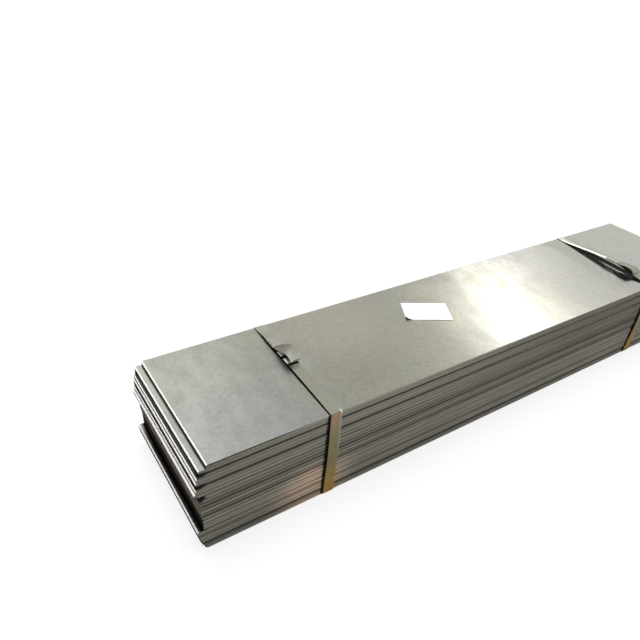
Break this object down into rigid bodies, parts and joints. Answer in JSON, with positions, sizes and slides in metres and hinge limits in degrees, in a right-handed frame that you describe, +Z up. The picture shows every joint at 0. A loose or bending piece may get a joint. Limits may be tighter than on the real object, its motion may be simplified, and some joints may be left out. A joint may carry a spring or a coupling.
{
  "type": "steel plate",
  "caption": "Strapped pack of long, narrow flat steel plates lying on each other, held by steel straps with crimped seals, with a blank paper label on top.",
  "frame": {"origin": "middle of the pack's footprint, at the floor it lies on", "axes": "+X along the plates, +Y across them towards the back, +Z up"},
  "size_m": [2.0304, 0.4106, 0.3136],
  "materials": {
    "plate_steel": "semi-gloss mill finish, light grey with a faint olive tint",
    "strap_steel": "satin, khaki brown waxed strapping",
    "seal_steel": "satin, plain zinc-grey to beige",
    "label_paper": "matt white paper"
  },
  "bodies": {
    "root": {"plate_01": "plate_steel", "plate_02": "plate_steel", "plate_03": "plate_steel", "plate_04": "plate_steel", "plate_05": "plate_steel", "plate_06": "plate_steel", "plate_07": "plate_steel", "plate_08": "plate_steel", "plate_09": "plate_steel", "plate_10": "plate_steel", "plate_11": "plate_steel", "plate_12": "plate_steel", "plate_13": "plate_steel", "plate_14": "plate_steel", "plate_15": "plate_steel", "plate_16": "plate_steel", "plate_17": "plate_steel", "plate_18": "plate_steel", "plate_19": "plate_steel", "plate_20": "plate_steel", "plate_21": "plate_steel", "plate_22": "plate_steel", "plate_23": "plate_steel", "plate_24": "plate_steel", "strap_left": "strap_steel", "seal_left": "seal_steel", "strap_right": "strap_steel", "seal_right": "seal_steel", "label": "label_paper"}
  },
  "joints": []
}
